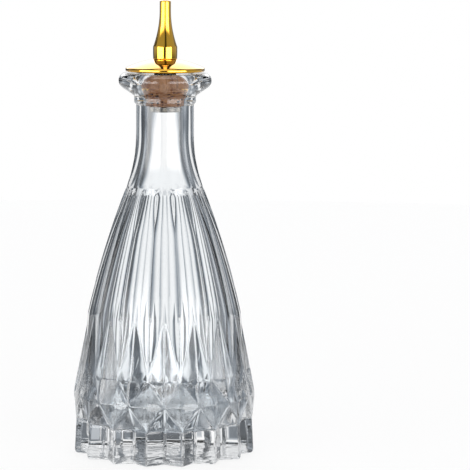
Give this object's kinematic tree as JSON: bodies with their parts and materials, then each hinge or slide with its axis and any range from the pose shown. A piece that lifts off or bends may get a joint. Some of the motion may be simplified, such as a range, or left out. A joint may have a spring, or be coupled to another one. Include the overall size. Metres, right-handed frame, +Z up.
{
  "type": "bitters bottle",
  "caption": "Clear cut-glass bitters bottle with fluted tapered body and star-cut foot, closed by a cork stopper that carries a domed gilt metal dasher spout.",
  "frame": {"origin": "centre of the foot, on the surface that the bottle stands on", "axes": "+Z up along the axis of the bottle, from the foot to the spout; -Y is the side seen in the picture"},
  "size_m": [0.0706, 0.0706, 0.1746],
  "materials": {
    "glass": "clear, fire-polished",
    "cork": "natural cork, matte",
    "gilt_metal": "mirror-polished gold plating",
    "polished_steel": "polished"
  },
  "bodies": {
    "bottle": {"glass_bottle": "glass"},
    "cork": {"cork_stopper": "cork"},
    "dash_top": {"cap_disc": "gilt_metal", "spout": "gilt_metal", "stem_tube": "polished_steel", "stem_collar": "polished_steel"}
  },
  "joints": [
    {"name": "stopper_pull", "type": "slide", "parent": "bottle", "child": "cork", "axis": [0, 0, 1], "range_m": [0, 0.045]},
    {"name": "top_twist", "type": "hinge", "parent": "cork", "child": "dash_top", "pos_m": [0, 0, 0.1475], "axis": [0, 0, 1], "continuous": true}
  ]
}
